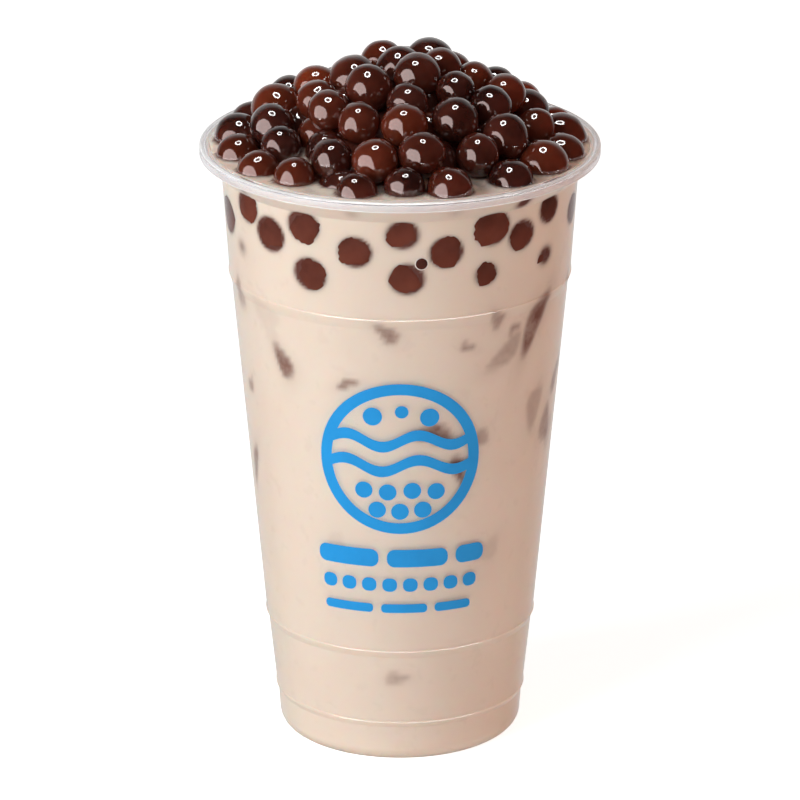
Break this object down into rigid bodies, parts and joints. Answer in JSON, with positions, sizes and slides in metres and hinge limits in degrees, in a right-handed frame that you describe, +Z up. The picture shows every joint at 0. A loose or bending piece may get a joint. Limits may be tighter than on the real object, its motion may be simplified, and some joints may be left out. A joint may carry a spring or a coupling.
{
  "type": "bubble tea in a clear cup",
  "caption": "Milk tea in a clear tapered takeaway cup with stacking ledges, filled to the rim and heaped with dark tapioca pearls.",
  "frame": {"origin": "middle of the cup's base, on the surface it stands on", "axes": "+Z up along the cup's axis, front towards -Y, +X to the right seen from the front"},
  "size_m": [0.095, 0.095, 0.1695],
  "materials": {
    "clear_plastic": "clear polished plastic",
    "milk_tea": "opaque milky liquid",
    "tapioca": "wet and glossy",
    "print": "ink printed on the outside of the cup"
  },
  "bodies": {
    "root": {"cup": "clear_plastic", "milk_tea": "milk_tea", "pearl_heap": "tapioca"}
  },
  "joints": []
}
